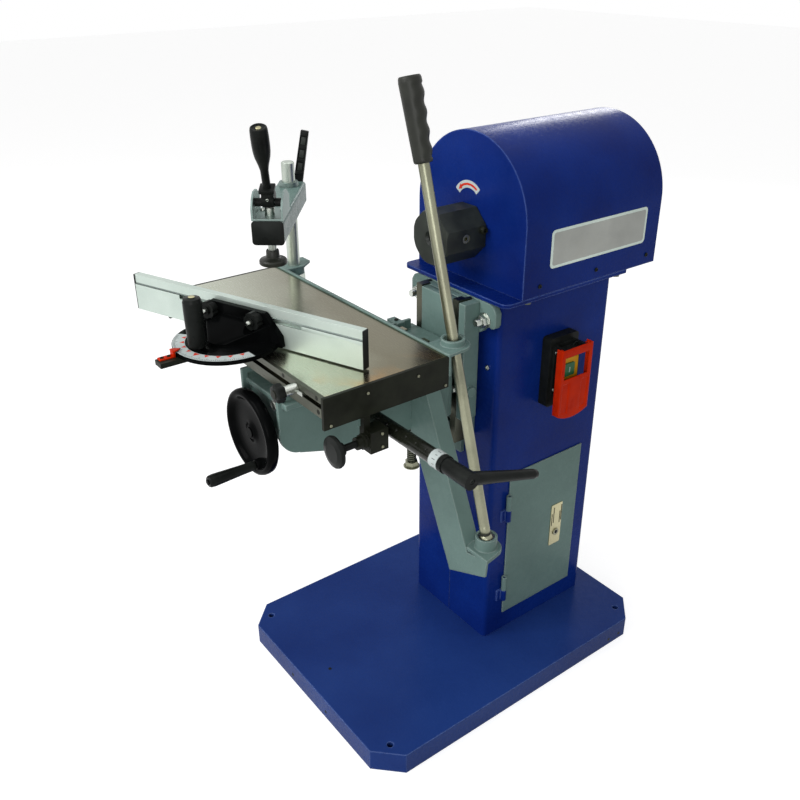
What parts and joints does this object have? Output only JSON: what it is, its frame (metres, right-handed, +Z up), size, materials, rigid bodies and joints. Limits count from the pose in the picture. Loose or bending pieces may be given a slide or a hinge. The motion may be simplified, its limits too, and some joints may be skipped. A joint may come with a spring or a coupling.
{
  "type": "horizontal slot mortiser",
  "caption": "Floor-standing horizontal slot mortiser: sheet-steel pedestal, motor head with chuck, rising cross-slide table with feed lever, clamp arm and mitre fence.",
  "frame": {"origin": "on the floor, at the centre of the four floor bolts", "axes": "+Z up, +X to the operator's right, +Y along the spindle from the chuck to the back of the machine"},
  "size_m": [0.6644, 0.813, 1.0381],
  "materials": {
    "blue_enamel": "gloss",
    "grey_enamel": "gloss",
    "black_oxide": "satin",
    "ground_steel": "satin",
    "zinc_steel": "gloss",
    "alloy": "satin",
    "black_plastic": "satin",
    "grip_rubber": "matte",
    "red_plastic": "gloss",
    "green_plastic": "gloss",
    "white_plastic": "satin",
    "latch_brass": "satin"
  },
  "bodies": {
    "stand": {"base_tray": "blue_enamel", "column": "blue_enamel", "cable_gland": "black_plastic", "head_plate": "blue_enamel", "head_bolts": "zinc_steel", "head_cover": "blue_enamel", "motor_housing": "alloy", "spindle_bearings": "ground_steel", "switch_box": "black_plastic", "switch_module": "black_plastic", "guide_hanger": "grey_enamel", "hanger_studs": "zinc_steel", "guide_plate": "grey_enamel", "guide_bars": "black_oxide", "lift_nut": "grey_enamel"},
    "door": {"door": "grey_enamel", "lock_plate": "latch_brass"},
    "lock": {"door_lock": "ground_steel"},
    "spindle": {"spindle_shaft": "ground_steel", "chuck_body": "black_oxide"},
    "key_screw": {"chuck_screw": "zinc_steel"},
    "start": {"start_button": "green_plastic"},
    "paddle": {"stop_paddle": "red_plastic"},
    "knee": {"knee_carriage": "grey_enamel", "knee_frame": "grey_enamel", "lever_bracket": "grey_enamel", "depth_ways": "ground_steel"},
    "handwheel": {"handwheel": "black_plastic", "handwheel_shaft": "ground_steel"},
    "crank": {"crank_grip": "black_plastic"},
    "screw": {"lift_screw": "ground_steel"},
    "saddle": {"saddle": "grey_enamel", "cross_ways": "ground_steel"},
    "index": {"index_bar": "black_oxide", "index_ring": "white_plastic", "index_lever": "black_plastic"},
    "table": {"table_top": "ground_steel", "table_aprons": "black_oxide", "back_strip": "grey_enamel", "front_rails": "ground_steel", "index_block": "black_oxide", "clamp_post": "zinc_steel"},
    "plunger": {"index_plunger": "black_plastic"},
    "ball": {"ball_shell": "zinc_steel"},
    "lever": {"lever_rod": "ground_steel", "lever_grip": "grip_rubber"},
    "clamp_slide": {"arm_bush": "zinc_steel"},
    "arm": {"clamp_arm": "grey_enamel", "cam_bracket": "zinc_steel"},
    "arm_lock": {"arm_lock_lever": "black_plastic"},
    "cam": {"cam_handle": "black_plastic"},
    "pad": {"clamp_plunger": "zinc_steel"},
    "gauge": {"gauge_bar": "black_oxide"},
    "gauge_head": {"gauge_head": "black_oxide"},
    "gauge_handle": {"gauge_handle": "black_plastic"},
    "fence": {"fence": "alloy"},
    "knob_left": {"fence_knob_left": "black_plastic"},
    "knob_right": {"fence_knob_right": "black_plastic"},
    "stop": {"rail_stop": "zinc_steel"},
    "stop_knob": {"stop_knob": "black_plastic"}
  },
  "joints": [
    {"name": "door_swing", "type": "hinge", "parent": "stand", "child": "door", "pos_m": [0.1056, 0.051, 0.231], "axis": [0, 0, -1], "range_deg": [0, 110]},
    {"name": "lock_turn", "type": "hinge", "parent": "door", "child": "lock", "pos_m": [0.1, 0.178, 0.211], "axis": [-1, 0, 0], "range_deg": [0, 90]},
    {"name": "spindle_spin", "type": "hinge", "parent": "stand", "child": "spindle", "pos_m": [0, 0, 0.79], "axis": [0, 1, 0], "continuous": true},
    {"name": "key_screw_turn", "type": "hinge", "parent": "spindle", "child": "key_screw", "pos_m": [0.03, -0.008, 0.7915], "axis": [1, 0, 0], "continuous": true},
    {"name": "start_press", "type": "slide", "parent": "stand", "child": "start", "axis": [-1, 0, 0], "range_m": [0, 0.003], "stiffness_N_per_m": 600},
    {"name": "paddle_lift", "type": "hinge", "parent": "stand", "child": "paddle", "pos_m": [0.14, 0.1415, 0.607], "axis": [0, -1, 0], "range_deg": [-4, 45], "stiffness_Nm_per_rad": 0.6},
    {"name": "handwheel_turn", "type": "hinge", "parent": "knee", "child": "handwheel", "pos_m": [0, -0.36, 0.568], "axis": [0, 1, 0], "range_deg": [-5401, 2701]},
    {"name": "knee_lift", "type": "slide", "parent": "stand", "child": "knee", "axis": [0, 0, 1], "range_m": [-0.06, 0.03]},
    {"name": "crank_spin", "type": "hinge", "parent": "handwheel", "child": "crank", "pos_m": [0.018, -0.4, 0.524], "axis": [0, 1, 0], "continuous": true},
    {"name": "screw_turn", "type": "hinge", "parent": "knee", "child": "screw", "pos_m": [0, -0.08, 0.5], "axis": [0, 0, 1], "range_deg": [-5401, 2701]},
    {"name": "saddle_slide", "type": "slide", "parent": "knee", "child": "saddle", "axis": [0, 1, 0], "range_m": [-0.045, 0.06]},
    {"name": "index_turn", "type": "hinge", "parent": "saddle", "child": "index", "pos_m": [0.16, -0.235, 0.597], "axis": [1, 0, 0], "range_deg": [-69, 52]},
    {"name": "table_slide", "type": "slide", "parent": "saddle", "child": "table", "axis": [1, 0, 0], "range_m": [-0.008, 0.14]},
    {"name": "plunger_pull", "type": "slide", "parent": "table", "child": "plunger", "axis": [0, -1, 0], "range_m": [0, 0.008], "stiffness_N_per_m": 900},
    {"name": "lever_depth", "type": "hinge", "parent": "knee", "child": "ball", "pos_m": [0.2094, -0.098, 0.381], "axis": [-1, 0, 0], "range_deg": [-10, 12]},
    {"name": "lever_cross", "type": "hinge", "parent": "ball", "child": "lever", "pos_m": [0.2094, -0.098, 0.381], "axis": [0, 0.9991, 0.042], "range_deg": [-3, 27]},
    {"name": "clamp_height", "type": "slide", "parent": "table", "child": "clamp_slide", "axis": [0, 0, 1], "range_m": [-0.05, 0.03]},
    {"name": "arm_swing", "type": "hinge", "parent": "clamp_slide", "child": "arm", "pos_m": [-0.297, -0.113, 0.803], "axis": [0, 0, 1], "range_deg": [-10, 20]},
    {"name": "arm_lock_turn", "type": "hinge", "parent": "arm", "child": "arm_lock", "pos_m": [-0.32842, -0.07878, 0.803], "axis": [0.7727, -0.6347, 0], "range_deg": [-45, 45]},
    {"name": "cam_throw", "type": "hinge", "parent": "arm", "child": "cam", "pos_m": [-0.15482, -0.22979, 0.843], "axis": [-0.6347, -0.7727, 0], "range_deg": [0, 90]},
    {"name": "pad_press", "type": "slide", "parent": "arm", "child": "pad", "axis": [0, 0, -1], "range_m": [0, 0.0061]},
    {"name": "gauge_slide", "type": "slide", "parent": "table", "child": "gauge", "axis": [1, 0, 0], "range_m": [-0.06, 0.08]},
    {"name": "gauge_turn", "type": "hinge", "parent": "gauge", "child": "gauge_head", "pos_m": [-0.056, -0.366, 0.687], "axis": [0, 0, 1], "range_deg": [-21, 24]},
    {"name": "gauge_handle_turn", "type": "hinge", "parent": "gauge", "child": "gauge_handle", "pos_m": [-0.056, -0.411, 0.7], "axis": [0, 0, 1], "continuous": true},
    {"name": "fence_slide", "type": "slide", "parent": "gauge_head", "child": "fence", "axis": [0.9336, 0.3584, 0], "range_m": [-0.06, 0.06]},
    {"name": "knob_left_turn", "type": "hinge", "parent": "gauge_head", "child": "knob_left", "pos_m": [-0.10751, -0.36435, 0.7202], "axis": [-0.3584, 0.9336, 0], "continuous": true},
    {"name": "knob_right_turn", "type": "hinge", "parent": "gauge_head", "child": "knob_right", "pos_m": [-0.03049, -0.33479, 0.7202], "axis": [-0.3584, 0.9336, 0], "continuous": true},
    {"name": "stop_slide", "type": "slide", "parent": "table", "child": "stop", "axis": [1, 0, 0], "range_m": [-0.02, 0.03]},
    {"name": "stop_knob_turn", "type": "hinge", "parent": "stop", "child": "stop_knob", "pos_m": [0.0975, -0.37, 0.671], "axis": [0, 1, 0], "continuous": true}
  ],
  "couplings": [
    {"joint": "handwheel_turn", "follows": "knee_lift", "rad_per_m": 1570.8},
    {"joint": "screw_turn", "follows": "knee_lift", "rad_per_m": 1570.8},
    {"joint": "lever_depth", "follows": "saddle_slide", "rad_per_m": 3.205},
    {"joint": "lever_cross", "follows": "table_slide", "rad_per_m": 3.178},
    {"joint": "pad_press", "follows": "cam_throw", "m_per_rad": 0.0038197}
  ]
}
